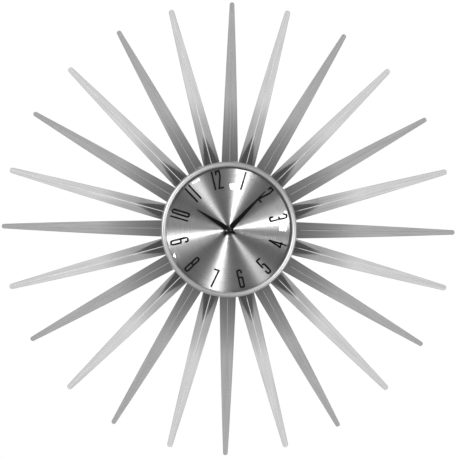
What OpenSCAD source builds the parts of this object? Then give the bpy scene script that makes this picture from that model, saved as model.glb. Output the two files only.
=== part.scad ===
// Sunburst wall clock with a battery movement.
// Millimetres. The wall is the plane y = 0, the dial faces -Y, +X is to the right and +Z is up.
// The hands turn on the Y axis. Each module draws its piece flat, with x to the right, y up and
// z as the height above the wall, and stand_up() then turns the piece upright.
// Dial angles run clockwise from the top, as on a clock.

/* [Sunburst] */
// Distance from the centre to the tip of every ray
ray_tip_r = 343; // [320:1:360]
// Width of a front ray where it leaves the case
front_ray_w = 24.8; // [22:0.2:26]
// Width of a front ray at its rounded tip
front_tip_w = 6.6; // [4:0.2:8]
// Slope of a front ray's two sides at the case
front_root_slope = 0.36; // [0.3:0.02:0.6]
// Slope of a front ray's two sides at its tip
front_tip_slope = 0.5; // [0.3:0.02:0.6]
// Angle by which the front rays are turned clockwise
front_turn = 0.85; // [0:0.05:1]
// Width of a rear ray where it leaves the case
rear_ray_w = 25; // [22:0.2:27]
// Width of a rear ray at its rounded tip
rear_tip_w = 7.8; // [4:0.2:8]
// Slope of a rear ray's two sides at the case
rear_root_slope = 1; // [0.6:0.02:1]
// Slope of a rear ray's two sides a little way out from its root
rear_mid_slope = 0.6; // [0.4:0.02:0.8]
// Slope of a rear ray's two sides at its tip
rear_tip_slope = 0.5; // [0.3:0.02:0.6]
// Angle by which the rear rays are turned clockwise
rear_turn = 0.25; // [0:0.05:1]
// How much the sides of a ray bow outward at mid length
ray_bow = 0.55; // [0:0.05:1]
// Thickness of the ray sheet
ray_t = 0.8; // [0.6:0.1:0.9]

/* [Case] */
// Radius of the bezel's rolled ring at the middle of the roll
bezel_mid_r = 98.6; // [98.4:0.1:98.9]
// Radius of the roll in cross-section
bezel_roll_r = 4; // [3.8:0.1:4.2]
// Height of the glass at its centre
glass_top = 50; // [48:0.5:54]
// Thickness of the glass
glass_t = 2; // [1.5:0.1:2]
// Radius of the round back housing
housing_r = 85; // [80:1:88]

/* [Dial] */
// Angle by which the dial is turned anticlockwise
dial_turn = 13.4; // [0:0.1:30]
// Radius of the circle that the numerals are centred on
numeral_ring_r = 76.6; // [74:0.1:78]
// Height of a numeral between the middles of its strokes
numeral_h = 25.8; // [20:0.1:27]
// Width of a digit between the middles of its strokes
digit_w = 6; // [5:0.1:7]
// Width of the numerals' strokes
numeral_stroke = 2.1; // [1.6:0.1:2.6]

/* [Hands] */
// Length of the hour hand from the centre
hour_hand_len = 57; // [45:1:62]
// Length of the minute hand from the centre
minute_hand_len = 80; // [65:1:84]
// Length of both hands' tails
hand_tail = 12; // [8:1:16]
// Width of both hands where they meet the hub
hand_w = 8.4; // [5:0.2:9]
// Angle at which the hour hand stands
hour_hand_angle = 302; // [0:1:360]
// Angle at which the minute hand stands
minute_hand_angle = 43.6; // [0:0.1:360]

/* [Movement] */
// Side of the square movement
movement_side = 56; // [56:0.5:58]
// Diameter of the threaded bush
bush_d = 8; // [7.8:0.1:8.2]
// Width across the flats of the bush nut
bush_nut_af = 11; // [10.5:0.5:13]

/* [Hidden] */
$fn = 96;
rays_per_layer = 12;
ray_step = 360 / rays_per_layer;

function two_digits(n) = n < 10 ? str("0", n) : str(n);
FRONT_RAYS = [for (i = [1:rays_per_layer]) str("front_ray_", two_digits(i))];
REAR_RAYS = [for (i = [1:rays_per_layer]) str("rear_ray_", two_digits(i))];
OTHER_NODES = [
    "rear_ray_plate", "front_ray_plate", "ray_rivets", "plate_spacers", "assembly_screws",
    "rear_housing", "hanger_plate", "wall_ring", "case_pan", "dial", "dial_numerals",
    "bezel", "lens", "lens_gasket", "movement_rear_cover", "movement_front_cover",
    "train_bridge", "bush_nut", "bush_washer", "hour_wheel", "minute_arbor", "centre_wheel",
    "motion_wheel", "third_wheel", "fourth_wheel", "fifth_wheel", "rotor", "stator", "coil",
    "circuit_board", "battery", "battery_contacts", "setting_knob", "hour_hand",
    "minute_hand", "hand_nut"];

// Heights above the wall
housing_back = 2;
housing_front = 12.5;
sheet_t = 1.2;
rear_tab_h = housing_front + sheet_t;
front_plate_h = 18.5;
front_tab_h = front_plate_h + sheet_t;
pan_h = 29.4;
pan_t = 0.8;
dial_h = pan_h + pan_t;
dial_t = 0.8;
dial_face = dial_h + dial_t;
movement_back = 12.4;
movement_seam = 20;
movement_front = 28.4;
wall_t = 1.2;

// Rays: a flat tab with two rivets, a stretch where the fold grows, then a blade folded into a
// shallow trough, whose slope changes along the ray through the [radius, slope] pairs below.
tab_r0 = 64;
tab_r1 = 84;
fold_r = 100;
case_edge_r = 103;
front_settle_r = 200;
rear_mid_r = 145;
rear_settle_r = 210;
front_slopes = [[case_edge_r, front_root_slope], [front_settle_r, front_tip_slope]];
rear_slopes = [
    [case_edge_r, rear_root_slope], [rear_mid_r, rear_mid_slope], [rear_settle_r, rear_tip_slope]];
ray_root_w = 14.8;
fold_round = 0.8;
fold_x = 1.2;
end_half_w = 0.05;
rivet_r = 1.6;
rivet_at = [69, 79];

// Mounting hardware
plate_r = 86;
plate_hole_r = 42;
post_ring_r = 53;
post_angles = [for (i = [0:5]) 60 * i];
screw_r = 1.45;
screw_hole_r = 1.7;
keyhole_r = 4.5;
keyhole_y = 60;
keyhole_slot = 4.5;
keyhole_run = 9;
hanger_h = housing_back + 1;

// Case
pan_r = 101.3;
dial_r = 100.2;
lens_r = 98;
lens_edge_top = 34.6;
roll_h = 34.5;
bezel_back = 29;
bezel_t = 1.2;
bezel_lip_h = 35.9;
sight_r = 94.6;

// Digits, to the middle of their strokes
digit_x = digit_w / 2;
digit_y = numeral_h / 2;
corner_r = 2.2;
bar_end_d = 1.12 * numeral_stroke;
print_t = 0.2;

// Hands and pipes
hour_pipe_r = 2.5;
arbor_r = 1.7;
arbor_tip_r = 1.4;
running_gap = 0.08;
fit_gap = 0.02;
bush_top = 33.4;
hour_hub = [33.7, 34.9];
minute_hub = [35.3, 36.5];
hand_nut_top = 38.6;
blade_t = 0.5;
hour_hub_r = 6.2;
minute_hub_r = 5.8;
hour_tip_w = 1.4;
minute_tip_w = 1.3;
hand_point = 1.5;
tail_w = 1.2;

// Gear train: [module, wheel teeth, pinion teeth] of each mesh. Two meshes share the motion
// wheel's axis, and two share the third wheel's, so the second of each pair fits its distance.
function mesh_distance(mesh) = mesh[0] * (mesh[1] + mesh[2]) / 2;
function mesh_at(distance, teeth, leaves) = [2 * distance / (teeth + leaves), teeth, leaves];
motion_mesh = [0.4, 36, 12];
hour_mesh = mesh_at(mesh_distance(motion_mesh), 40, 10);
third_mesh = [0.24, 60, 8];
centre_mesh = mesh_at(mesh_distance(third_mesh), 64, 8);
fourth_mesh = [0.4, 30, 10];
fifth_mesh = [0.24, 60, 6];

// Direction of each axis, anticlockwise from +X, seen from the front
motion_dir = -20;
knob_dir = 30;
third_dir = 180;
fifth_dir = 60;
rotor_dir = 30;
function toward(dir, d) = [d * cos(dir), d * sin(dir)];
motion_axis = toward(motion_dir, mesh_distance(motion_mesh));
knob_axis = motion_axis + toward(knob_dir, mesh_distance(motion_mesh));
third_axis = toward(third_dir, mesh_distance(third_mesh));
fifth_axis = toward(fifth_dir, mesh_distance(fourth_mesh));
rotor_axis = fifth_axis + toward(rotor_dir, mesh_distance(fifth_mesh));

// Heights of the wheels and pinions, from the back of each to its front
rotor_pinion = [15, 16.8];
rotor_magnet = [17.2, 19.6];
fifth_gear = [15.4, 16.4];
fifth_pinion = [17, 18.8];
fourth_gear = [17.4, 18.4];
fourth_pinion = [19.2, 20.9];
third_gear = [19.6, 20.6];
third_pinion = [21.4, 22.9];
centre_gear = [21.8, 22.8];
motion_gear = [24.3, 25.2];
motion_pinion = [25.1, 26.8];
hour_gear = [25.6, 26.6];

pivot_r = 0.35;
pivot_hole_r = 0.41;
pivot_back = 14;
pivot_front = 23.9;
third_pivot_back = 18;
third_arbor_back = 18.9;
fourth_arbor_back = 17;
fifth_arbor_back = 15.1;
centre_post_top = 15;
fifth_post_top = 14.8;
rotor_post_top = 14.7;
third_post_top = 18.5;
board_h = 14.4;
board_t = 1;
fourth_pivot_front = 22.4;
gear_arbor_r = 0.6;
stud_r = 0.8;
stem_r = 0.9;
arbor_back = 21.2;
bridge_h = 23.2;
bridge_t = 0.8;
pillars = [[-14, 12.5], [-14, -8.5], [21.5, 12.5], [21.5, -8]];
pillar_r = 1.5;
pillar_pin_r = 0.8;
battery_r = 7;
battery_y = -19.4;
battery_h = 19.8;
bay_y = -11.1;
stator_h = 17.6;
coil_y = 21.5;

// ---- helpers ----

module stand_up() {
    rotate([90, 0, 0]) children();
}

// A solid disc or ring between two heights
module ring(r_out, r_in, from_h, to_h) {
    translate([0, 0, from_h]) difference() {
        cylinder(r = r_out, h = to_h - from_h);
        if (r_in > 0) translate([0, 0, -1]) cylinder(r = r_in, h = to_h - from_h + 2);
    }
}

// A round bar between two heights: a pin or a post, or a drill when it is taken away
module rod(r, from_h, to_h) {
    translate([0, 0, from_h]) cylinder(r = r, h = to_h - from_h);
}

module at_angle(angle) {
    rotate([0, 0, -angle]) children();
}

module round_box_2d(w, h, r) {
    square([w - 2 * r, h], center = true);
    square([w, h - 2 * r], center = true);
    for (x = [-1, 1], y = [-1, 1]) translate([x * (w / 2 - r), y * (h / 2 - r)]) circle(r = r);
}

module round_box(w, h, r, from_h, to_h) {
    translate([0, 0, from_h]) linear_extrude(to_h - from_h) round_box_2d(w, h, r);
}

// ---- rays ----

// Half width of a ray at radius r: narrow root, bowed taper, round tip
function ray_half(r, w, tip_w) =
    r < case_edge_r
    ? (ray_root_w + (w - ray_root_w) * (r - tab_r0) / (case_edge_r - tab_r0)) / 2
    : let (u = (r - case_edge_r) / (ray_tip_r - case_edge_r),
           taper = w / 2 + (tip_w - w) / 2 * u + ray_bow * 4 * u * (1 - u),
           from_tip = ray_tip_r - r)
      from_tip < tip_w / 2
      ? taper * sqrt(max(0, 1 - pow(1 - from_tip / (tip_w / 2), 2))) + end_half_w
      : taper;

// Share of the full fold at radius r, from none on the tab to all of it beyond the case
function fold_share(r) =
    let (u = min(1, max(0, (r - tab_r1) / (fold_r - tab_r1)))) u * u * (3 - 2 * u);

// Slope of the trough's sides at radius r
function side_slope(r, slopes) = fold_share(r) * lookup(r, slopes);

// Height of the folded sheet at a distance x from the bottom of the trough
function fold_height(x) = norm([x, fold_round]) - fold_round;

// One ring of points around the sheet: over the top, then back underneath
function ray_section(r, half, side) =
    let (drop = ray_t * sqrt(1 + side * side),
         x1 = min(fold_x, half / 2),
         top = [for (x = [-half, -x1, 0, x1, half]) [x, r, drop + side * fold_height(x)]])
    concat(top, [for (i = [4:-1:0]) top[i] - [0, 0, drop]]);

ray_stations = concat(
    [tab_r0, tab_r1, 90, 96, fold_r, case_edge_r, 112, 122, 133, rear_mid_r, 175],
    [rear_settle_r, 255, 300, ray_tip_r - 3],
    [for (d = [1.8, 0.9, 0.3, 0]) ray_tip_r - d]);

// A folded ray along +Y with its flat tab's back face at height 0
module ray_blade(w, tip_w, slopes) {
    n = 10;
    last = len(ray_stations) - 1;
    points = [for (r = ray_stations)
        each ray_section(r, ray_half(r, w, tip_w), side_slope(r, slopes))];
    // The sheet's rings joined into quads, with each end closed by the strips of one ring
    sides = [for (s = [0:last - 1], k = [0:n - 1])
        [s * n + k, s * n + (k + 1) % n, (s + 1) * n + (k + 1) % n, (s + 1) * n + k]];
    root = [for (k = [0:3]) [k, 9 - k, 8 - k, k + 1]];
    tip = [for (k = [0:3]) [last * n + k, last * n + k + 1, last * n + 8 - k, last * n + 9 - k]];
    difference() {
        polyhedron(points = points, faces = concat(sides, root, tip), convexity = 4);
        for (y = rivet_at) translate([0, y, -1]) cylinder(r = rivet_r, h = 5);
    }
}

// The rear rays stand halfway between the front rays
function rear_angle(i) = ray_step * (i + 0.5) + rear_turn;

module front_ray(i) {
    color("gray") stand_up() at_angle(ray_step * i + front_turn) translate([0, 0, front_tab_h])
        ray_blade(front_ray_w, front_tip_w, front_slopes);
}

module rear_ray(i) {
    color("lightgray") stand_up() at_angle(rear_angle(i)) translate([0, 0, rear_tab_h])
        ray_blade(rear_ray_w, rear_tip_w, rear_slopes);
}

// ---- plates and fasteners behind the case ----

module ray_plate(back_h, first_angle) {
    difference() {
        ring(plate_r, plate_hole_r, back_h, back_h + sheet_t);
        for (i = [0:rays_per_layer - 1], y = rivet_at)
            at_angle(first_angle + ray_step * i) translate([0, y, 0])
                rod(rivet_r, back_h - 1, back_h + sheet_t + 1);
        for (a = post_angles) rotate([0, 0, a]) translate([post_ring_r, 0, 0])
            rod(screw_hole_r, back_h - 1, back_h + sheet_t + 1);
    }
}

module rear_ray_plate() {
    color("dimgray") stand_up() ray_plate(housing_front, rear_angle(0));
}

module front_ray_plate() {
    color("dimgray") stand_up() ray_plate(front_plate_h, front_turn);
}

// A rivet through one plate and one ray tab, with a low head on each face
module rivet(back_h) {
    head_r = 2.6;
    head_t = 0.8;
    grip = sheet_t + ray_t;
    ring(rivet_r - fit_gap, 0, back_h - 0.1, back_h + grip + 0.1);
    ring(head_r, 0, back_h - head_t, back_h);
    ring(head_r, 0, back_h + grip, back_h + grip + head_t);
}

module ray_rivets() {
    color("silver") stand_up() for (i = [0:rays_per_layer - 1], y = rivet_at) {
        at_angle(ray_step * i + front_turn) translate([0, y, 0]) rivet(front_plate_h);
        at_angle(rear_angle(i)) translate([0, y, 0]) rivet(housing_front);
    }
}

module plate_spacers() {
    spacer_r = 3;
    color("silver") stand_up() for (a = post_angles) rotate([0, 0, a]) translate([post_ring_r, 0, 0])
        ring(spacer_r, screw_hole_r, rear_tab_h, front_plate_h);
}

// Long screws from the back housing into the case pan's bosses
module assembly_screws() {
    head_r = 2.8;
    head_t = 2.2;
    seat_h = housing_front - 1;
    tip_h = 27;
    color("silver") stand_up() for (a = post_angles) rotate([0, 0, a]) translate([post_ring_r, 0, 0])
        difference() {
            union() {
                ring(head_r, 0, seat_h - head_t, seat_h);
                ring(screw_r, 0, seat_h - 0.1, tip_h);
            }
            // Cross recess
            for (q = [0, 90]) rotate([0, 0, q]) translate([0, 0, seat_h - head_t])
                cube([3.2, 0.7, 2], center = true);
        }
}

// Shallow steel tray with a cup at each screw and a wide window for the battery and the knob
module rear_housing() {
    skin = 1;
    window_r = 41;
    cup_r = 6;
    color("dimgray") stand_up() difference() {
        union() {
            ring(housing_r, window_r, housing_back, housing_back + skin);
            ring(housing_r, housing_r - skin, housing_back, housing_front);
            for (a = post_angles) rotate([0, 0, a]) translate([post_ring_r, 0, 0])
                ring(cup_r, 0, housing_back, housing_front);
        }
        for (a = post_angles) rotate([0, 0, a]) translate([post_ring_r, 0, 0]) {
            rod(cup_r - skin, housing_back - 1, housing_front - skin);
            rod(screw_hole_r, housing_back, housing_front + 1);
        }
        // Window behind the hanger's keyhole
        translate([0, keyhole_y + keyhole_run / 2, housing_back - 1])
            linear_extrude(skin + 2) round_box_2d(14, 28, 3);
        // Holes for the hanger's rivets
        for (x = [-12, 12]) translate([x, keyhole_y + 5, 0]) rod(rivet_r, 0, hanger_h + 1);
    }
}

// Strip with the keyhole that drops over a screw in the wall
module hanger_plate() {
    hanger_w = 32;
    hanger_len = 34;
    color("silver") stand_up() difference() {
        union() {
            translate([0, keyhole_y + keyhole_run / 2, 0])
                round_box(hanger_w, hanger_len, 3, hanger_h, hanger_h + sheet_t);
            for (x = [-12, 12]) translate([x, keyhole_y + 5, 0])
                ring(rivet_r - fit_gap, 0, housing_back, hanger_h + 0.1);
        }
        translate([0, keyhole_y, 0]) rod(keyhole_r, 0, hanger_h + 3);
        translate([-keyhole_slot / 2, keyhole_y, 0]) cube([keyhole_slot, keyhole_run, hanger_h + 3]);
        translate([0, keyhole_y + keyhole_run, 0]) rod(keyhole_slot / 2, 0, hanger_h + 3);
    }
}

// Rubber ring that keeps the housing off the wall
module wall_ring() {
    color("black") stand_up() ring(housing_r - 3, housing_r - 9, 0, housing_back);
}

// ---- case ----

// Round pan with a turned-up rim and a threaded boss over each screw
module case_pan() {
    rim_top = 34;
    boss_r = 3.6;
    boss_hole_top = 28.4;
    color("dimgray") stand_up() difference() {
        union() {
            ring(pan_r, 0, pan_h, dial_h);
            ring(pan_r, pan_r - pan_t, pan_h, rim_top);
            for (a = post_angles) rotate([0, 0, a]) translate([post_ring_r, 0, 0])
                ring(boss_r, 0, front_tab_h, pan_h + 0.1);
        }
        rod(bush_d / 2 + 0.3, pan_h - 1, dial_h + 1);
        for (a = post_angles) rotate([0, 0, a]) translate([post_ring_r, 0, 0])
            rod(screw_r + fit_gap, front_tab_h - 1, boss_hole_top);
    }
}

module dial() {
    color("darkgray") stand_up() ring(dial_r, bush_d / 2 + 0.3, dial_h, dial_face);
}

// A straight stroke from p to q with round ends, which swell a little past its sides
module bar(p, q) {
    d = q - p;
    translate(p) rotate([0, 0, atan2(d[1], d[0])]) translate([0, -numeral_stroke / 2])
        square([norm(d), numeral_stroke]);
    translate(p) circle(d = bar_end_d);
    translate(q) circle(d = bar_end_d);
}

// A closed rounded loop whose stroke runs on the middle of a box w wide, from y0 up to y1
module loop(w, y0, y1, r) {
    s = numeral_stroke;
    translate([0, (y0 + y1) / 2]) difference() {
        round_box_2d(w + s, y1 - y0 + s, r + s / 2);
        round_box_2d(w - s, y1 - y0 - s, r - s / 2);
    }
}

// Digits are centred on the origin and drawn along the middle of their strokes
module digit_1() {
    bar([0, -digit_y], [0, digit_y]);
}
module digit_2() {
    bar([-digit_x, digit_y - 4], [-digit_x + 0.6, digit_y]);
    bar([-digit_x + 0.6, digit_y], [digit_x - 0.6, digit_y]);
    bar([digit_x - 0.6, digit_y], [digit_x - 0.2, digit_y - 7]);
    bar([digit_x - 0.2, digit_y - 7], [-digit_x + 0.4, -digit_y]);
    bar([-digit_x + 0.4, -digit_y], [digit_x, -digit_y]);
}
// A full loop with its left side open between the two hooks, and a short middle bar
module digit_3() {
    gap_y = [-digit_y + 5.5, digit_y - 4.5];
    difference() {
        loop(digit_w, -digit_y, digit_y, corner_r);
        translate([-digit_x - 2, gap_y[0]]) square([4, gap_y[1] - gap_y[0]]);
    }
    bar([digit_x, 1.2], [-0.2, 1.2]);
}
module digit_4() {
    bar_y = -digit_y + 7.6;
    bar([digit_x - 1.4, -digit_y], [digit_x - 1.4, digit_y]);
    bar([digit_x - 1.4, digit_y], [-digit_x - 0.6, bar_y]);
    bar([-digit_x - 0.6, bar_y], [digit_x, bar_y]);
}
module digit_5() {
    bowl_top = digit_y - 10;
    hook_y = -digit_y + 6;
    bar([digit_x, digit_y], [-digit_x + 0.3, digit_y]);
    bar([-digit_x + 0.3, digit_y], [-digit_x + 0.3, digit_y - 13]);
    difference() {
        loop(digit_w, -digit_y, bowl_top, corner_r);
        translate([-digit_x - 2, hook_y]) square([4.6, bowl_top - hook_y + 3]);
    }
}
module digit_6() {
    bowl_top = -digit_y + 15;
    hook_y = digit_y - 5;
    loop(digit_w, -digit_y, bowl_top, corner_r);
    difference() {
        loop(digit_w, -digit_y, digit_y, corner_r);
        translate([digit_x - 2, bowl_top]) square([4, hook_y - bowl_top]);
    }
}
module digit_7() {
    bar([-digit_x, digit_y], [digit_x + 0.4, digit_y]);
    bar([digit_x + 0.4, digit_y], [-0.8, -digit_y]);
}
module digit_8() {
    waist_y = 0.8;
    loop(digit_w - 0.8, waist_y, digit_y, corner_r);
    loop(digit_w - 0.4, -digit_y, waist_y, corner_r + 0.2);
}
module digit_9() {
    rotate([0, 0, 180]) digit_6();
}
module digit_0() {
    loop(digit_w - 0.8, -digit_y, digit_y, corner_r);
}

// The numerals 9 to 3 stand with their tops outward, and 4 to 8 with their tops inward
module numeral(n) {
    if (n == 1) digit_1();
    if (n == 2) digit_2();
    if (n == 3) digit_3();
    if (n == 4) digit_4();
    if (n == 5) digit_5();
    if (n == 6) digit_6();
    if (n == 7) digit_7();
    if (n == 8) digit_8();
    if (n == 9) digit_9();
    if (n > 9) translate([-5.6, 0]) digit_1();
    if (n == 10) translate([3, 0]) digit_0();
    if (n == 11) translate([1.8, 0]) digit_1();
    if (n == 12) translate([3, 0]) digit_2();
}

module dial_numerals() {
    color("black") stand_up() translate([0, 0, dial_face]) linear_extrude(print_t)
        for (n = [1:12]) at_angle(30 * n - dial_turn) translate([0, numeral_ring_r])
            rotate([0, 0, n > 3 && n < 9 ? 180 : 0]) numeral(n);
}

// Rolled ring with a skirt over the pan's rim and a lip over the edge of the glass
module bezel() {
    outer_r = bezel_mid_r + bezel_roll_r;
    color("silver") stand_up() rotate_extrude() difference() {
        union() {
            translate([bezel_mid_r, roll_h]) circle(r = bezel_roll_r);
            translate([outer_r - bezel_t, bezel_back]) square([bezel_t, roll_h - bezel_back]);
        }
        translate([bezel_mid_r, roll_h]) circle(r = bezel_roll_r - bezel_t);
        translate([bezel_mid_r - 6, bezel_back - 1])
            square([outer_r - bezel_t - bezel_mid_r + 6, roll_h - bezel_back + 1]);
        translate([bezel_mid_r - 6, roll_h - 1]) square([6, bezel_lip_h - roll_h + 1]);
    }
}

// Domed glass cut from a hollow sphere
module lens() {
    sag = glass_top - lens_edge_top;
    sphere_r = (lens_r * lens_r + sag * sag) / (2 * sag);
    color("lightblue", 0.3) stand_up() intersection() {
        translate([0, 0, glass_top - sphere_r]) difference() {
            sphere(r = sphere_r);
            sphere(r = sphere_r - glass_t);
        }
        ring(lens_r, 0, dial_face, glass_top + 5);
    }
}

// Black seat between the dial and the glass
module lens_gasket() {
    seat_top = 32.3;
    collar_top = 34.2;
    color("black") stand_up() {
        ring(dial_r, sight_r, dial_face, seat_top);
        ring(dial_r, lens_r + 0.1, seat_top - 0.1, collar_top);
    }
}

// ---- movement case ----

module movement_rear_cover() {
    inner = movement_side - 2 * wall_t;
    post_r = 1;
    post_foot = movement_back + wall_t - 0.1;
    color("dimgray") stand_up() difference() {
        union() {
            difference() {
                round_box(movement_side, movement_side, 3, movement_back, movement_seam);
                round_box(inner, inner, 2, movement_back + wall_t, movement_seam + 1);
                // Battery bay, open to the back
                translate([-inner / 2, -inner / 2, movement_back - 1])
                    cube([inner, bay_y + inner / 2 - 0.8, wall_t + 2]);
            }
            // Inner wall of the battery bay
            translate([-inner / 2, bay_y - 0.8, movement_back]) cube([inner, 0.8, 14.5]);
            // Posts that carry the rear pivots
            rod(post_r, post_foot, centre_post_top);
            translate(fifth_axis) rod(post_r, post_foot, fifth_post_top);
            translate(rotor_axis) rod(post_r, post_foot, rotor_post_top);
            translate(third_axis) rod(post_r, post_foot, third_post_top);
            // Posts under the circuit board and the stator
            for (p = [[-22, 12], [-9, 23]]) translate(p)
                rod(1.2, post_foot, board_h);
            for (p = [[0, coil_y], [22, coil_y]]) translate(p)
                rod(1.4, post_foot, stator_h);
        }
        for (p = [[0, 0], fifth_axis, rotor_axis]) translate(p)
            rod(pivot_hole_r, movement_back + wall_t + 0.2, 16);
        translate(third_axis) rod(pivot_hole_r, third_pivot_back - 1, third_post_top + 1);
        translate(knob_axis) rod(stem_r + running_gap, movement_back - 1, 14);
    }
}

module movement_front_cover() {
    inner = movement_side - 2 * wall_t;
    ceiling = movement_front - wall_t;
    color("dimgray") stand_up() difference() {
        union() {
            difference() {
                round_box(movement_side, movement_side, 3, movement_seam, movement_front);
                round_box(inner, inner, 2, movement_seam - 1, ceiling);
            }
            ring(bush_d / 2, 0, ceiling, bush_top);
            // Stud that the motion wheel turns on
            translate(motion_axis) rod(stud_r, bridge_h + bridge_t, ceiling + 0.1);
            // Pillars that carry the train bridge
            for (p = pillars) translate(p) {
                rod(pillar_r, bridge_h + bridge_t, ceiling + 0.1);
                rod(pillar_pin_r, bridge_h, ceiling);
            }
        }
        rod(hour_pipe_r + running_gap, ceiling - 1, bush_top + 1);
    }
}

// Plate that carries the front pivots, between the centre wheel and the motion work
module train_bridge() {
    middle = [3.8, 2.3, 0];
    size = [40.4, 25.6];
    color("whitesmoke") stand_up() difference() {
        translate(middle) round_box(size[0], size[1], 2, bridge_h, bridge_h + bridge_t);
        rod(arbor_r + running_gap, bridge_h - 1, bridge_h + 2);
        for (p = [third_axis, fifth_axis, rotor_axis]) translate(p)
            rod(pivot_hole_r, bridge_h - 1, bridge_h + 2);
        translate(knob_axis) rod(stem_r + running_gap, bridge_h - 1, bridge_h + 2);
        for (p = pillars) translate(p) rod(pillar_pin_r + fit_gap, bridge_h - 1, bridge_h + 2);
    }
}

module bush_nut() {
    nut_t = 2;
    color("silver") stand_up() difference() {
        translate([0, 0, dial_face]) cylinder(r = bush_nut_af / 2 / cos(30), h = nut_t, $fn = 6);
        rod(bush_d / 2 + fit_gap, dial_face - 1, dial_face + nut_t + 1);
    }
}

module bush_washer() {
    washer_r = 10;
    color("black") stand_up() ring(washer_r, bush_d / 2 + 0.3, movement_front, pan_h);
}

// ---- gear train ----

// Flat gear with short straight-sided teeth, one of them centred on the angle first
module gear(mesh, teeth, first, heights) {
    pitch_r = teeth * mesh[0] / 2;
    root_r = pitch_r - mesh[0];
    tip_r = pitch_r + 0.6 * mesh[0];
    pitch = 360 / teeth;
    root_half = 0.29 * pitch;
    tip_half = 0.12 * pitch;
    corners = [[root_r, -root_half], [tip_r, -tip_half], [tip_r, tip_half], [root_r, root_half]];
    translate([0, 0, heights[0]]) linear_extrude(heights[1] - heights[0])
        polygon([for (i = [0:teeth - 1], c = corners)
            let (a = first + i * pitch + c[1]) [c[0] * cos(a), c[0] * sin(a)]]);
}

// A wheel has a tooth toward its pinion, and the pinion has a gap there
module wheel(mesh, dir, heights) {
    gear(mesh, mesh[1], dir, heights);
}
module pinion(mesh, dir, heights) {
    gear(mesh, mesh[2], dir + 180 / mesh[2], heights);
}

module hour_wheel() {
    color("white") stand_up() difference() {
        union() {
            wheel(hour_mesh, motion_dir, hour_gear);
            ring(hour_pipe_r, 0, hour_gear[0], hour_hub[1]);
        }
        rod(arbor_r + running_gap, hour_gear[0] - 1, hour_hub[1] + 1);
    }
}

// Minute arbor with the cannon pinion, a bore for the fourth arbor and a threaded tip
module minute_arbor() {
    color("goldenrod") stand_up() difference() {
        union() {
            ring(arbor_r, 0, arbor_back, minute_hub[0]);
            ring(arbor_tip_r, 0, minute_hub[0] - 0.1, hand_nut_top + 0.3);
            pinion(motion_mesh, motion_dir, motion_gear);
        }
        rod(pivot_hole_r, arbor_back - 1, arbor_back + 1.6);
    }
}

module centre_wheel() {
    color("white") stand_up() difference() {
        wheel(centre_mesh, third_dir, centre_gear);
        rod(arbor_r + fit_gap, centre_gear[0] - 1, centre_gear[1] + 1);
    }
}

module motion_wheel() {
    color("white") stand_up() translate(motion_axis) difference() {
        union() {
            wheel(motion_mesh, motion_dir + 180, motion_gear);
            pinion(hour_mesh, motion_dir + 180, motion_pinion);
        }
        rod(stud_r + running_gap, motion_gear[0] - 1, motion_pinion[1] + 1);
    }
}

module third_wheel() {
    color("white") stand_up() translate(third_axis) {
        wheel(third_mesh, third_dir + 180, third_gear);
        pinion(centre_mesh, third_dir + 180, third_pinion);
        rod(gear_arbor_r, third_arbor_back, third_pinion[0] + 0.1);
        rod(pivot_r, third_pivot_back, pivot_front);
    }
}

module fourth_wheel() {
    color("white") stand_up() {
        wheel(fourth_mesh, fifth_dir, fourth_gear);
        pinion(third_mesh, third_dir, fourth_pinion);
        rod(gear_arbor_r, fourth_arbor_back, fourth_pinion[0] + 0.1);
        rod(pivot_r, pivot_back, fourth_pivot_front);
    }
}

module fifth_wheel() {
    color("white") stand_up() translate(fifth_axis) {
        wheel(fifth_mesh, rotor_dir, fifth_gear);
        pinion(fourth_mesh, fifth_dir + 180, fifth_pinion);
        rod(gear_arbor_r, fifth_arbor_back, fifth_pinion[0] + 0.1);
        rod(pivot_r, pivot_back, pivot_front);
    }
}

// Magnet on a fine pinion
module rotor() {
    magnet_r = 2.8;
    color("slategray") stand_up() translate(rotor_axis) {
        pinion(fifth_mesh, rotor_dir + 180, rotor_pinion);
        rod(gear_arbor_r, rotor_pinion[1] - 0.1, rotor_magnet[0] + 0.1);
        rod(magnet_r, rotor_magnet[0], rotor_magnet[1]);
        rod(pivot_r, pivot_back, pivot_front);
    }
}

// Flat iron ring around the rotor, with two limbs to a core bar through the coil
module stator() {
    stator_t = 1;
    frame_at = [-1, 10.2];
    frame_w = 24;
    limb_w = 2.2;
    bar_w = 2.6;
    rotor_gap_r = 3.4;
    limb_len = coil_y + bar_w / 2 - frame_at[1];
    color("lightsteelblue") stand_up() difference() {
        translate([0, 0, stator_h]) linear_extrude(stator_t) {
            translate(rotor_axis) square([9, 8.6], center = true);
            translate(frame_at) {
                square([frame_w, bar_w]);
                square([limb_w, limb_len]);
                translate([frame_w - limb_w, 0]) square([limb_w, limb_len]);
                translate([0, limb_len - bar_w]) square([frame_w, bar_w]);
            }
        }
        translate(rotor_axis) rod(rotor_gap_r, stator_h - 1, stator_h + 2);
    }
}

// Bobbin with its winding on the stator's core bar
module coil() {
    flange_r = 3.8;
    flange_t = 0.8;
    winding_r = 3.3;
    bobbin_len = 18;
    color("peru") stand_up() translate([2, coil_y, stator_h + 0.5]) rotate([0, 90, 0]) difference() {
        union() {
            cylinder(r = winding_r, h = bobbin_len);
            cylinder(r = flange_r, h = flange_t);
            translate([0, 0, bobbin_len - flange_t]) cylinder(r = flange_r, h = flange_t);
        }
        translate([-0.6, -1.5, -1]) cube([1.2, 3, bobbin_len + 2]);
    }
}

module circuit_board() {
    color("darkgreen") stand_up() {
        translate([-26, 8.6, board_h]) cube([20, 17.4, board_t]);
        // Chip under its blob and the crystal's can
        translate([-18, 18, 0]) rod(3, board_h + board_t - 0.1, board_h + board_t + 1);
        translate([-24, 11.5, board_h + 1.9]) rotate([0, 90, 0]) cylinder(r = 1, h = 6);
    }
}

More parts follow.
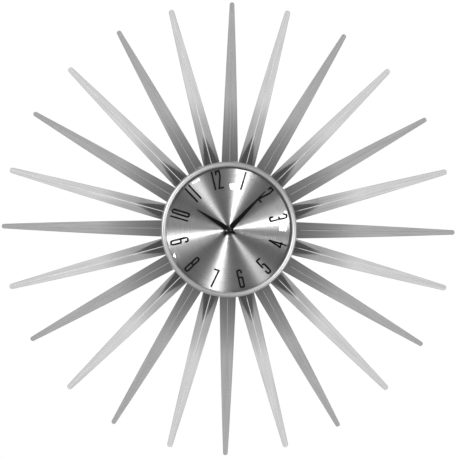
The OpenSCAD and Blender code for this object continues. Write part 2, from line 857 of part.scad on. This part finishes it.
module battery() {
    half_len = 24.5;
    color("dimgray") stand_up() translate([0, battery_y, battery_h]) rotate([0, 90, 0]) {
        translate([0, 0, -half_len]) cylinder(r = battery_r, h = 2 * half_len);
        translate([0, 0, half_len - 0.1]) cylinder(r = 2.7, h = 0.9);
    }
}

// Spring strips at the battery's two ends
module battery_contacts() {
    strip_t = 0.4;
    strip_w = 8;
    color("gold") stand_up() for (s = [-1, 1]) translate([s * 26.4, battery_y - strip_w / 2, 0]) {
        translate([-strip_t / 2, 0, 16]) cube([strip_t, strip_w, 9]);
        translate([s > 0 ? -0.9 : 0, 0, 18.6]) cube([0.9, strip_w, strip_t]);
        translate([s > 0 ? -1 : 0.8, 2, 18.6]) cube([0.2, 4, 2.4]);
    }
}

// Knob behind the movement, whose long stem carries a pinion that turns the motion wheel
module setting_knob() {
    knob_r = 5;
    ribs = 18;
    color("whitesmoke") stand_up() translate(knob_axis) {
        pinion(motion_mesh, knob_dir + 180, motion_gear);
        rod(stem_r, 11.8, motion_gear[0] + 0.1);
        difference() {
            rod(knob_r, 9.4, 12);
            for (i = [0:ribs - 1]) rotate([0, 0, 360 / ribs * i]) translate([knob_r, 0, 0])
                rod(0.35, 9, 13);
        }
    }
}

// ---- hands ----

// Tapered hand along +Y with a pointed tail and a round hub
module hand(len, tip_w, hub_r, bore_r, hub) {
    difference() {
        union() {
            translate([0, 0, hub[0] + 0.3]) linear_extrude(blade_t) polygon([
                [-hand_w / 2, 0], [-tip_w / 2, len - hand_point], [0, len],
                [tip_w / 2, len - hand_point], [hand_w / 2, 0],
                [tail_w / 2, -hand_tail], [-tail_w / 2, -hand_tail]]);
            ring(hub_r, 0, hub[0], hub[1]);
        }
        rod(bore_r, hub[0] - 1, hub[1] + 1);
    }
}

module hour_hand() {
    color("black") stand_up() at_angle(hour_hand_angle)
        hand(hour_hand_len, hour_tip_w, hour_hub_r, hour_pipe_r + fit_gap, hour_hub);
}

module minute_hand() {
    color("black") stand_up() at_angle(minute_hand_angle)
        hand(minute_hand_len, minute_tip_w, minute_hub_r, arbor_tip_r + fit_gap, minute_hub);
}

// Round nut with a stepped face that clamps the minute hand
module hand_nut() {
    nut_r = 4.8;
    step_w = 1.4;
    color("black") stand_up() difference() {
        union() {
            ring(nut_r, 0, minute_hub[1], minute_hub[1] + 1.2);
            ring(nut_r - step_w, 0, minute_hub[1], hand_nut_top);
        }
        rod(arbor_tip_r + fit_gap, minute_hub[1] - 1, hand_nut_top + 1);
    }
}

// ---- nodes ----

for (i = [0:rays_per_layer - 1]) front_ray(i);
for (i = [0:rays_per_layer - 1]) rear_ray(i);
rear_ray_plate();
front_ray_plate();
ray_rivets();
plate_spacers();
assembly_screws();
rear_housing();
hanger_plate();
wall_ring();
case_pan();
dial();
dial_numerals();
bezel();
lens();
lens_gasket();
movement_rear_cover();
movement_front_cover();
train_bridge();
bush_nut();
bush_washer();
hour_wheel();
minute_arbor();
centre_wheel();
motion_wheel();
third_wheel();
fourth_wheel();
fifth_wheel();
rotor();
stator();
coil();
circuit_board();
battery();
battery_contacts();
setting_knob();
hour_hand();
minute_hand();
hand_nut();
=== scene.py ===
import math

import bmesh
import bpy
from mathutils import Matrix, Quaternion, Vector


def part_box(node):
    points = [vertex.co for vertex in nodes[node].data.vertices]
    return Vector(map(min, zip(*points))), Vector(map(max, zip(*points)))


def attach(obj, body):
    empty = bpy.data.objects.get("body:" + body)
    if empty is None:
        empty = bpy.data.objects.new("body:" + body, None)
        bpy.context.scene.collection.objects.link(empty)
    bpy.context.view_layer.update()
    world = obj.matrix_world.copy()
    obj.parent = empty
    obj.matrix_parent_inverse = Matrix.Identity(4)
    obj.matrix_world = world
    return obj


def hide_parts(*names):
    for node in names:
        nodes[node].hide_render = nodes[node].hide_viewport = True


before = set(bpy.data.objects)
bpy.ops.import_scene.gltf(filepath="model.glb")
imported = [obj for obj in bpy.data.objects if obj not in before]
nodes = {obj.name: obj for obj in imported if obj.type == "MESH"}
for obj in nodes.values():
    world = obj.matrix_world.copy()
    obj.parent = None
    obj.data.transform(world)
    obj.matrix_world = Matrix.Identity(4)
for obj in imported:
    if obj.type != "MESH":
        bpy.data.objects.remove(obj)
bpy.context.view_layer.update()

# Sizes of the clock are in millimetres. The materials, camera, lights and floor are in metres.
MM = 0.001


# ---- shapes ----

def place(x, y, z, angle):
    """A point (across, along, height) on a ray at a clockwise dial angle, in metres in the shared frame."""
    c, s = math.cos(angle), math.sin(angle)
    return (x * c + y * s) * MM, -z * MM, (y * c - x * s) * MM


def skin(rings, n, closed):
    """Quads between neighbouring rings of n points each, and from the last ring to the first if closed."""
    faces = []
    for i in range(rings if closed else rings - 1):
        j = (i + 1) % rings
        for k in range(n):
            m = (k + 1) % n
            faces.append((i * n + k, i * n + m, j * n + m, j * n + k))
    return faces


def add_piece(name, mesh, body, slot, replaced):
    """Shows a mesh in place of one CAD node, on that node's body and in its material slot."""
    piece = bpy.data.objects.new(name, mesh)
    bpy.context.scene.collection.objects.link(piece)
    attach(piece, body)
    piece.data.materials.append(MATERIALS[slot])
    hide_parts(replaced)
    return piece


def smooth_mesh(name, verts, faces, sharp_deg, uv=()):
    """A mesh with its faces turned outwards, smooth across every edge that bends less than sharp_deg."""
    mesh = bpy.data.meshes.new(name)
    mesh.from_pydata(verts, [], faces)
    mesh.validate()
    if uv:
        layer = mesh.uv_layers.new(name="UVMap")
        for loop in mesh.loops:
            layer.data[loop.index].uv = uv[loop.vertex_index]
    bm = bmesh.new()
    bm.from_mesh(mesh)
    bmesh.ops.recalc_face_normals(bm, faces=bm.faces)
    bm.to_mesh(mesh)
    bm.free()
    mesh.polygons.foreach_set("use_smooth", [True] * len(mesh.polygons))
    mesh.set_sharp_from_angle(angle=math.radians(sharp_deg))
    return mesh


def turned_mesh(name, profile, segments, sharp_deg):
    """A closed profile of (radius, height above the wall) points, turned about the clock's axis."""
    verts = [place(0, r, h, 2 * math.pi * i / segments) for i in range(segments) for r, h in profile]
    return smooth_mesh(name, verts, skin(segments, len(profile), True), sharp_deg)


def arc(centre, radius, start_deg, end_deg, steps):
    """Points (radius, height) on an arc about a centre. 0 degrees points to the front and 90 outwards."""
    turns = [math.radians(start_deg + (end_deg - start_deg) * i / steps) for i in range(steps + 1)]
    return [(centre[0] + radius * math.sin(a), centre[1] + radius * math.cos(a)) for a in turns]


def extent(node_name):
    """(outer radius, front, back) of a round CAD node, in millimetres from the clock's axis and the wall."""
    lo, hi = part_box(node_name)
    return hi.x / MM, -lo.y / MM, -hi.y / MM


# ---- materials ----

def grey(value):
    return value, value, value


def node(tree, kind, inputs, **settings):
    """A shader node, with each input set to a value or linked to the output that is given for it."""
    new = tree.nodes.new("ShaderNode" + kind)
    for key, value in settings.items():
        setattr(new, key, value)
    for key, value in inputs.items():
        if isinstance(value, bpy.types.NodeSocket):
            tree.links.new(value, new.inputs[key])
        else:
            new.inputs[key].default_value = value
    return new


def maths(tree, operation, *values):
    return node(tree, "Math", dict(enumerate(values)), operation=operation).outputs[0]


def remap(tree, value, low, high, new_low, new_high):
    """Takes a value from the range low to high into a new range, and holds it at the ends."""
    return node(tree, "MapRange", {0: value, 1: low, 2: high, 3: new_low, 4: new_high}).outputs[0]


def ramp(tree, value, stops):
    """Colour from a value, with (value, colour) stops."""
    new = node(tree, "ValToRGB", {0: value})
    while len(new.color_ramp.elements) < len(stops):
        new.color_ramp.elements.new(0.5)
    for element, (position, color) in zip(new.color_ramp.elements, stops):
        element.position = position
        element.color = (*color, 1)
    return new.outputs[0]


def noise(tree, vector, scale, detail, rough):
    inputs = {"Vector": vector, "Scale": scale, "Detail": detail, "Roughness": rough}
    return node(tree, "TexNoise", inputs).outputs["Fac"]


def stretched_noise(tree, vector, stretch, detail, rough):
    scaled = node(tree, "Mapping", {"Vector": vector, "Scale": stretch}).outputs[0]
    return noise(tree, scaled, 1.0, detail, rough)


def tinted(tree, value, tone, dark, light):
    """The tone times dark where a noise is low, and times light where it is high."""
    return ramp(tree, value, [(0.3, [c * dark for c in tone]), (0.7, [c * light for c in tone])])


def relief(tree, height, depth, strength):
    """Bumps as deep as depth, in metres."""
    return node(tree, "Bump", {"Height": height, "Distance": depth, "Strength": strength}).outputs[0]


def empty_material(name):
    material = bpy.data.materials.new(name)
    material.use_nodes = True
    material.node_tree.nodes.clear()
    return material


def surface(material, kind, inputs):
    """Ends a material in a shader."""
    shader = node(material.node_tree, kind, inputs)
    node(material.node_tree, "OutputMaterial", {0: shader.outputs[0]})
    return material


CREASE_BLUR = 0.0001


def ray_metal(name, tone, rough, crease):
    """Satin sheet drawn lengthwise, with streaks in tone, roughness and relief, and matt along the fold.

    The UV map holds metres across and along the ray. The matt strip is twice the crease wide, in metres.
    """
    material = empty_material(name)
    tree = material.node_tree
    uv = node(tree, "UVMap", {}).outputs[0]
    streaks = stretched_noise(tree, uv, (2400, 24, 1), 4.0, 0.6)
    cloud = stretched_noise(tree, uv, (60, 25, 1), 3.0, 0.5)
    bands = stretched_noise(tree, uv, (420, 9, 1), 3.0, 0.6)
    both = maths(tree, "MULTIPLY_ADD", streaks, 0.45, maths(tree, "MULTIPLY", bands, 0.55))
    off_fold = maths(tree, "ABSOLUTE", node(tree, "SeparateXYZ", {0: uv}).outputs[0])
    return surface(material, "BsdfPrincipled", {
        "Base Color": tinted(tree, both, tone, 0.79, 1.17),
        "Roughness": remap(tree, cloud, 0.0, 1.0, rough - 0.05, rough + 0.05),
        "Metallic": remap(tree, off_fold, crease - CREASE_BLUR, crease + CREASE_BLUR, 0.0, 1.0),
        "Normal": relief(tree, streaks, 0.000012, 0.5),
    })


def spun_metal(name, tone, rough, aniso, metallic):
    """Disc brushed in circles: fine rings in tone, roughness and relief, and a tangent round the axis."""
    material = empty_material(name)
    tree = material.node_tree
    position = node(tree, "TexCoord", {}).outputs["Object"]
    flat = node(tree, "VectorMath", {0: position, 1: (1, 0, 1)}, operation="MULTIPLY").outputs[0]
    radius = node(tree, "VectorMath", {0: flat}, operation="LENGTH").outputs["Value"]
    ring_inputs = {"W": radius, "Scale": 3500.0, "Detail": 3.0}
    rings = node(tree, "TexNoise", ring_inputs, noise_dimensions="1D").outputs["Fac"]
    return surface(material, "BsdfPrincipled", {
        "Base Color": tinted(tree, rings, tone, 0.9, 1.08),
        "Roughness": remap(tree, rings, 0.0, 1.0, rough - 0.04, rough + 0.04),
        "Metallic": metallic,
        "Anisotropic": aniso,
        "Anisotropic Rotation": 0.25,
        "Tangent": node(tree, "Tangent", {}, direction_type="RADIAL", axis="Y").outputs[0],
        "Normal": relief(tree, rings, 0.000004, 0.4),
    })


GRAIN_SCALE = 400.0


def plain(name, color, rough, metallic=0.0, depth=0.00003):
    """Painted, moulded or plated surface: a fine grain in tone and relief, and a broad one in roughness."""
    material = empty_material(name)
    tree = material.node_tree
    position = node(tree, "TexCoord", {}).outputs["Object"]
    grain = noise(tree, position, GRAIN_SCALE, 4.0, 0.6)
    cloud = noise(tree, position, GRAIN_SCALE / 8, 3.0, 0.5)
    return surface(material, "BsdfPrincipled", {
        "Base Color": tinted(tree, grain, color, 0.9, 1.08),
        "Roughness": remap(tree, cloud, 0.0, 1.0, rough - 0.06, rough + 0.06),
        "Metallic": metallic,
        "Normal": relief(tree, grain, depth, 0.5),
    })


def thin_glass(name):
    """Clear glass that lets everything straight through and adds a reflection on its outer side."""
    material = empty_material(name)
    tree = material.node_tree
    mirrored = node(tree, "Fresnel", {"IOR": 1.5}).outputs[0]
    outer_side = maths(tree, "SUBTRACT", 1.0, node(tree, "NewGeometry", {}).outputs["Backfacing"])
    return surface(material, "MixShader", {
        0: maths(tree, "MULTIPLY", mirrored, outer_side),
        1: node(tree, "BsdfTransparent", {}).outputs[0],
        2: node(tree, "BsdfGlossy", {"Roughness": 0.0}).outputs[0],
    })


# The plain slots, each with its colour, roughness and metallic value
PLAIN_SLOTS = {
    "plate_steel": (grey(0.5), 0.4, 1.0),
    "fastener_steel": (grey(0.55), 0.35, 1.0),
    "housing_paint": ((0.08, 0.08, 0.085), 0.5, 0.0),
    "bumper_rubber": (grey(0.03), 0.8, 0.0),
    "dial_print": (grey(0.006), 0.2, 0.0),
    "gasket_rubber": (grey(0.02), 0.6, 0.0),
    "movement_plastic": (grey(0.03), 0.4, 0.0),
    "bridge_plastic": ((0.7, 0.7, 0.68), 0.4, 0.0),
    "bush_brass": (grey(0.05), 0.35, 1.0),
    "arbor_brass": ((0.16, 0.15, 0.14), 0.3, 1.0),
    "gear_plastic": ((0.75, 0.75, 0.73), 0.4, 0.0),
    "rotor_magnet": (grey(0.1), 0.5, 0.0),
    "stator_iron": ((0.4, 0.4, 0.42), 0.4, 1.0),
    "coil_copper": ((0.6, 0.25, 0.1), 0.35, 1.0),
    "board_laminate": ((0.02, 0.12, 0.04), 0.4, 0.0),
    "battery_shell": ((0.1, 0.12, 0.2), 0.35, 0.0),
    "contact_metal": ((0.6, 0.58, 0.5), 0.3, 1.0),
    "knob_plastic": (grey(0.7), 0.4, 0.0),
}
MATERIALS = {name: plain(name, *finish) for name, finish in PLAIN_SLOTS.items()}
MATERIALS["hand_paint"] = plain("hand_paint", grey(0.004), 0.18, depth=0.00001)
MATERIALS["front_ray_metal"] = ray_metal("front_ray_metal", grey(0.58), 0.15, 0.0003)
MATERIALS["rear_ray_metal"] = ray_metal("rear_ray_metal", grey(0.86), 0.13, 0.0005)
MATERIALS["dial_metal"] = spun_metal("dial_metal", grey(0.55), 0.28, 1.0, 0.86)
MATERIALS["bezel_metal"] = spun_metal("bezel_metal", grey(0.69), 0.45, 0.0, 1.0)
MATERIALS["lens_glass"] = thin_glass("lens_glass")
for obj in nodes.values():
    slot_name = obj.data.materials[0].name.split(".")[0]
    obj.data.materials[0] = MATERIALS[slot_name]


# ---- rays ----

# Radii along a ray: both ends of its flat tab, the start of the full fold, the case's edge and the tip
TAB_R0, TAB_R1, FOLD_R, CASE_R, TIP_R = 64.0, 84.0, 100.0, 103.0, 343.0
TAB_W = 14.8
SIDE_BULGE = 0.55
TIP_HALF_W = 0.05
SHEET_T = 0.8

# Radii of the sections of a ray, which stand closest where the fold starts and at the round tip
CLOSE_R, NEAR_TIP_R = 145.0, 339.0
STATIONS = [TAB_R0, 74.0, TAB_R1, 87.0, 90.0, 93.0, 96.0, 98.0, FOLD_R, CASE_R]
STATIONS += [CASE_R + (CLOSE_R - CASE_R) * i / 12 for i in range(1, 13)]
STATIONS += [CLOSE_R + (NEAR_TIP_R - CLOSE_R) * i / 22 for i in range(1, 23)]
STATIONS += [TIP_R - d for d in (3.2, 2.5, 1.9, 1.4, 0.9, 0.5, 0.2, 0.02)]

# Points across a section: distances from the fold, up to a share of the half width, then shares of the rest
# of the flank as far as the eased edge, then shares of the sheet's thickness round that edge
FOLD_STEPS, FOLD_SHARE = (0.12, 0.3, 0.55, 0.85, 1.3, 2.2), 0.55
FLANK_SHARES, EDGE_EASE = (0.35, 0.7, 1.0), 0.3
EDGE_SHARES = (0.72, 0.28)

# The CAD rays bend this gently at the fold. The bend is tighter here, and the flanks stay in the same place.
CAD_BEND = 0.8
OUTER_BEND, OUTER_BEND_R = 0.15, 165.0

RAY_COUNT = 12
# Each layer of rays: first angle in degrees, widths at the case and the tip, and bend of the fold at the case
LAYERS = {"front": (0.85, 24.8, 6.6, 0.2), "rear": (15.25, 25.0, 7.8, 0.4)}
# The slope of each layer's flanks at some radii
SLOPES = {
    "front": ((CASE_R, 0.36), (200.0, 0.5)),
    "rear": ((CASE_R, 0.93), (120.0, 0.82), (138.0, 0.70), (158.0, 0.585), (212.0, 0.5)),
}
TAB_BACKS = {layer: -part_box(layer + "_ray_01")[1].y / MM for layer in LAYERS}


def ease(t):
    """0 to 1 with a soft start and end."""
    t = min(1.0, max(0.0, t))
    return t * t * (3 - 2 * t)


def half_width(r, case_w, tip_w):
    """Half a ray's width: a tab that widens, sides that bulge a little, and a round tip."""
    if r < CASE_R:
        return (TAB_W + (case_w - TAB_W) * (r - TAB_R0) / (CASE_R - TAB_R0)) / 2
    u = (r - CASE_R) / (TIP_R - CASE_R)
    half = case_w / 2 + (tip_w - case_w) / 2 * u + SIDE_BULGE * 4 * u * (1 - u)
    tip_radius = tip_w / 2
    if TIP_R - r < tip_radius:
        half = half * math.sqrt(max(0, 1 - (1 - (TIP_R - r) / tip_radius) ** 2)) + TIP_HALF_W
    return half


def flank_slope(r, slopes):
    """Slope of the flanks: none on the tab, and by the (radius, slope) pairs from the full fold outwards."""
    slope = slopes[-1][1]
    for (r0, slope0), (r1, slope1) in zip(slopes, slopes[1:]):
        if r < r1:
            slope = slope0 + (slope1 - slope0) * max(0.0, (r - r0) / (r1 - r0))
            break
    return ease((r - TAB_R1) / (FOLD_R - TAB_R1)) * slope


def ray_section(r, half, slope, bend, back):
    """The outline across a ray: the trough's face, one eased edge, its back and the other edge."""
    drop = SHEET_T * math.sqrt(1 + slope * slope)
    near = [min(x, half * FOLD_SHARE) for x in FOLD_STEPS]
    rim = half - EDGE_EASE * min(1.0, half)
    right = near + [near[-1] + (rim - near[-1]) * share for share in FLANK_SHARES]
    across = [-x for x in reversed(right)] + [0.0] + right
    face = [(x, r, back + drop + slope * (math.hypot(x, bend) - CAD_BEND)) for x in across]
    under = [(x, r, z - drop) for x, r, z in reversed(face)]
    edge_z = back + slope * (math.hypot(half, bend) - CAD_BEND)
    right_edge = [(half, r, edge_z + share * drop) for share in EDGE_SHARES]
    left_edge = [(-half, r, edge_z + share * drop) for share in reversed(EDGE_SHARES)]
    return face + right_edge + under + left_edge


def blade(layer, number):
    """A ray of folded sheet: a shallow trough with a rounded fold along it, eased edges and a round tip."""
    first, case_w, tip_w, case_bend = LAYERS[layer]
    angle = math.radians(360 / RAY_COUNT * (number - 1) + first)
    sections = []
    for r in STATIONS:
        bend = case_bend + (OUTER_BEND - case_bend) * ease((r - CASE_R) / (OUTER_BEND_R - CASE_R))
        slope = flank_slope(r, SLOPES[layer])
        sections.append(ray_section(r, half_width(r, case_w, tip_w), slope, bend, TAB_BACKS[layer]))
    points = [point for section in sections for point in section]
    n = len(sections[0])
    faces = skin(len(sections), n, False)
    faces += [tuple(reversed(range(n))), tuple(range(len(points) - n, len(points)))]
    verts = [place(x, y, z, angle) for x, y, z in points]
    uv = [(x * MM, y * MM + angle) for x, y, z in points]
    name = "%s_blade_%02d" % (layer, number)
    mesh = smooth_mesh(name, verts, faces, sharp_deg=28, uv=uv)
    return add_piece(name, mesh, "case", layer + "_ray_metal", "%s_ray_%02d" % (layer, number))


blades = [blade(layer, number) for number in range(1, RAY_COUNT + 1) for layer in LAYERS]


# ---- bezel ----

# The rolled face's centre (radius, height) and radius, and the sheet's thickness
ROLL_CENTRE, ROLL_R, RIM_T = (98.6, 34.5), 4.0, 1.2
# Heights of the inner lip, of the skirt's front, and of its hem's front and back
LIP_H, SKIRT_H, HEM_H, BACK_H = 35.9, 32.0, 29.5, 29.0
HEM_CORNER = (0.15, 0.08)
# The lip's end is cut slantwise, and its inner face stops this many degrees sooner
LIP_CUT_DEG = 6


def bezel_profile():
    """Rolled ring of sheet with an inner lip, a broad rolled face and a straight skirt with a hemmed edge."""
    lip_deg = -math.degrees(math.acos((LIP_H - ROLL_CENTRE[1]) / ROLL_R))
    outer = arc(ROLL_CENTRE, ROLL_R, lip_deg, 90, 40)
    inner = arc(ROLL_CENTRE, ROLL_R - RIM_T, 90, lip_deg + LIP_CUT_DEG, 30)
    skirt_r = ROLL_CENTRE[0] + ROLL_R
    hem = [(0, SKIRT_H), (0, HEM_H), (HEM_CORNER[0], BACK_H + HEM_CORNER[1]), (RIM_T / 2, BACK_H)]
    hem += [(RIM_T - inset, height) for inset, height in reversed(hem[:-1])]
    return outer + [(skirt_r - inset, height) for inset, height in hem] + inner


bezel_mesh = turned_mesh("bezel_ring", bezel_profile(), segments=360, sharp_deg=40)
bezel = add_piece("bezel_ring", bezel_mesh, "case", "bezel_metal", "bezel")


# ---- glass ----

LENS_EDGE_H, LENS_T = 34.6, 2.0
AXIS_GAP = 0.02


def glass_profile():
    """Domed disc of even thickness, as two arcs about the same centre that end just short of the axis."""
    edge_r, top, _ = extent("lens")
    sag = top - LENS_EDGE_H
    outer_r = (edge_r * edge_r + sag * sag) / (2 * sag)
    inner_r = outer_r - LENS_T
    centre = (0, top - outer_r)
    outer = arc(centre, outer_r, 0, math.degrees(math.asin(edge_r / outer_r)), 60)
    inner = arc(centre, inner_r, math.degrees(math.asin(edge_r / inner_r)), 0, 60)
    outer[0], inner[-1] = (AXIS_GAP, outer[0][1]), (AXIS_GAP, inner[-1][1])
    return outer + inner


glass_mesh = turned_mesh("lens_dome", glass_profile(), segments=256, sharp_deg=30)
glass = add_piece("lens_dome", glass_mesh, "case", "lens_glass", "lens")


# ---- numerals ----

INK_SPREAD = 0.3
# Sides whose directions agree at least this far are one side, and the least divisor keeps sharp corners short
SAME_SIDE, LEAST_DIVISOR = 0.999, 0.4


def corner_move(vert):
    """The way a corner of the print goes when each upright side that meets in it moves out by one."""
    sides = []
    for face in vert.link_faces:
        way = Vector((face.normal.x, 0, face.normal.z)).normalized()
        if abs(face.normal.y) < 0.5 and all(way.dot(side) < SAME_SIDE for side in sides):
            sides.append(way)
    if len(sides) < 2:
        return sides[0] if sides else Vector((0, 0, 0))
    return (sides[0] + sides[1]) / max(LEAST_DIVISOR, 1 + sides[0].dot(sides[1]))


def spread_print(name, source):
    """A mesh of a CAD node's printed strokes, each side moved out over the dial as thick ink spreads."""
    bm = bmesh.new()
    bm.from_mesh(source.data)
    bm.transform(source.matrix_world)
    bmesh.ops.remove_doubles(bm, verts=bm.verts, dist=1e-6)
    bm.normal_update()
    moves = [corner_move(vert) * INK_SPREAD * MM for vert in bm.verts]
    for vert, move in zip(bm.verts, moves):
        vert.co += move
    mesh = bpy.data.meshes.new(name)
    bm.to_mesh(mesh)
    bm.free()
    return mesh


print_mesh = spread_print("printed_numerals", nodes["dial_numerals"])
numerals = add_piece("printed_numerals", print_mesh, "case", "dial_print", "dial_numerals")


# ---- hand nut ----

NUT_BORE_R = 1.42
NUT_STEP_W, NUT_STEP_H = 1.4, 1.2
NUT_CURVE, NUT_BREAK = 0.6, 0.1


def nut_profile():
    """Round nut with a stepped face, the edges of both steps well rounded and the other corners broken."""
    radius, top, back = extent("hand_nut")
    step_r, step_h = radius - NUT_STEP_W, back + NUT_STEP_H
    profile = [(NUT_BORE_R, back), (radius - NUT_BREAK, back), (radius, back + NUT_BREAK)]
    profile += arc((radius - NUT_CURVE, step_h - NUT_CURVE), NUT_CURVE, 90, 0, 6)
    profile += [(step_r + NUT_BREAK, step_h), (step_r, step_h + NUT_BREAK)]
    profile += arc((step_r - NUT_CURVE, top - NUT_CURVE), NUT_CURVE, 90, 0, 6)
    return profile + [(NUT_BORE_R + NUT_BREAK, top), (NUT_BORE_R, top - NUT_BREAK)]


nut_mesh = turned_mesh("turned_nut", nut_profile(), segments=96, sharp_deg=40)
nut = add_piece("turned_nut", nut_mesh, "minute_work", "hand_paint", "hand_nut")


# ---- camera ----

# The camera looks at the target from this distance, where its frame is twice HALF_VIEW high
TARGET = Vector((-0.0003, -0.021, 0.0004))
DISTANCE, HALF_VIEW, SENSOR = 4.0, 0.34662, 36.0
AZIMUTH, ELEVATION = math.radians(-1.6), math.radians(1.6)

scene = bpy.context.scene
scene.view_settings.view_transform = "Standard"
scene.view_settings.look = "None"

level = math.cos(ELEVATION)
view_from = Vector((math.sin(AZIMUTH) * level, -math.cos(AZIMUTH) * level, math.sin(ELEVATION)))
camera = bpy.data.objects.new("camera", bpy.data.cameras.new("camera"))
scene.collection.objects.link(camera)
scene.camera = camera
camera.location = TARGET + DISTANCE * view_from
camera.rotation_mode = "QUATERNION"
camera.rotation_quaternion = (TARGET - camera.location).to_track_quat("-Z", "Y")
camera.data.sensor_width = SENSOR
camera.data.lens = SENSOR / 2 / (HALF_VIEW / DISTANCE)
camera.data.clip_start, camera.data.clip_end = 0.05, 50


# ---- world ----

# Greys of the surroundings at angles in degrees from the way in which a flat dial mirrors the view. A flank
# mirrors what is at twice its slope's angle, so the bright ring at 53 degrees lights the rays' outer parts.
WORLD_GREYS = (
    (0, 0.09), (28, 0.10), (35, 0.15), (40, 0.24), (44, 0.34), (46.5, 0.42), (49.7, 0.56), (53.1, 0.84),
    (55.3, 0.76), (58, 0.55), (60, 0.50), (62, 0.48), (70, 0.45), (78, 0.30), (85, 0.13), (90, 0.15),
    (96, 0.5), (120, 0.7))

world = bpy.data.worlds.new("world")
scene.world = world
world.use_nodes = True
sky = world.node_tree
sky.nodes.clear()
mirrored_view = (view_from.x, -view_from.y, view_from.z)
direction = node(sky, "TexCoord", {}).outputs["Generated"]
facing = node(sky, "VectorMath", {0: direction, 1: mirrored_view}, operation="DOT_PRODUCT").outputs["Value"]
stops = [((1 - math.cos(math.radians(off_axis))) / 2, grey(value)) for off_axis, value in WORLD_GREYS]
greys = ramp(sky, remap(sky, facing, -1.0, 1.0, 0.0, 1.0), stops)
backdrop = node(sky, "MixShader", {
    0: node(sky, "LightPath", {}).outputs["Is Camera Ray"],
    1: node(sky, "Background", {0: greys}).outputs[0],
    2: node(sky, "Background", {0: (1, 1, 1, 1)}).outputs[0],
})
node(sky, "OutputWorld", {0: backdrop.outputs[0]})


# ---- lights ----

FAR, NEAR = 2.4, 0.5


def softbox(name, azimuth, off_axis, distance, w, h, radiance, roll=0.0, soft=False):
    """An area light at a clockwise dial azimuth and an angle off the dial's axis, facing the dial.

    It shows only as a reflection, or with soft only as diffuse light.
    """
    a, t = math.radians(azimuth), math.radians(off_axis)
    way = Vector((math.sin(t) * math.sin(a), -math.cos(t), math.sin(t) * math.cos(a)))
    data = bpy.data.lights.new(name, "AREA")
    data.shape = "RECTANGLE"
    data.size, data.size_y = w, h
    data.energy = radiance * math.pi * w * h
    light = bpy.data.objects.new(name, data)
    light.location = way * distance
    light.rotation_mode = "QUATERNION"
    light.rotation_quaternion = (-way).to_track_quat("-Z", "Y") @ Quaternion((0, 0, 1), math.radians(roll))
    light.visible_glossy = not soft
    light.visible_diffuse = soft
    scene.collection.objects.link(light)
    return light


def light_only(name, objects, lights):
    """Lets the lights reach only the listed objects."""
    group = bpy.data.collections.new(name)
    for obj in objects:
        group.objects.link(obj)
    for light in lights:
        light.light_linking.receiver_collection = group


light_only("dial_lights", [nodes["dial"]], [
    softbox("key_top", 18, 29, FAR, 0.22, 0.40, 80),
    softbox("key_right", 84, 31, FAR, 0.40, 0.13, 115),
    softbox("fill_right", 68, 31, FAR, 0.30, 0.05, 50),
    softbox("fill_lower_right", 105, 31, FAR, 0.30, 0.05, 50),
    softbox("key_upper_left", 326, 33, FAR, 0.05, 0.40, 200),
])
face = [nodes[name] for name in ("dial", "hour_hand", "minute_hand", "lens_gasket")]
light_only("face_lights", face + [nut, numerals], [
    softbox("soft_top", 0, 46, FAR, 1.0, 0.7, 8, soft=True),
])
light_only("fold_lights", blades, [
    softbox("soft_fold", 290, 20, FAR, 0.6, 0.6, 30, soft=True),
])
light_only("nut_lights", [nut], [
    softbox("nut_top", 10, 50, NEAR, 0.2, 0.2, 260),
    softbox("nut_left", 250, 50, NEAR, 0.2, 0.16, 180),
    softbox("nut_right", 120, 50, NEAR, 0.16, 0.16, 220),
])
light_only("rim_lights", [bezel], [
    softbox("soft_left", 292, 38, FAR, 1.5, 1.2, 4.9),
    softbox("soft_right", 113, 38, FAR, 1.3, 1.1, 4.0),
])
light_only("lens_lights", [glass], [
    softbox("window_top", 11, 24.3, FAR, 0.20, 0.15, 60),
    softbox("window_top_edge", 17, 27.2, FAR, 0.07, 0.05, 60),
    softbox("window_right", 90, 33.5, FAR, 0.20, 0.20, 60),
    softbox("window_right_edge", 76, 36, FAR, 0.06, 0.07, 60),
    softbox("window_upper_left", 326.5, 32.3, FAR, 0.18, 0.045, 90, roll=36),
    softbox("window_lower_left", 241, 35, FAR, 0.07, 0.05, 90, roll=-61),
])


# ---- floor ----

FLOOR_HALF_W, FLOOR_FRONT, FLOOR_BACK, FLOOR_Z = 1.0, -0.5, 1.2, -1.1

corners = [(-FLOOR_HALF_W, FLOOR_FRONT), (FLOOR_HALF_W, FLOOR_FRONT)]
corners += [(FLOOR_HALF_W, FLOOR_BACK), (-FLOOR_HALF_W, FLOOR_BACK)]
floor_mesh = bpy.data.meshes.new("floor")
floor_mesh.from_pydata([(x, y, FLOOR_Z) for x, y in corners], [], [(0, 1, 2, 3)])
floor_mesh.materials.append(plain("floor_paint", grey(0.8), 0.7))
floor = bpy.data.objects.new("floor", floor_mesh)
scene.collection.objects.link(floor)
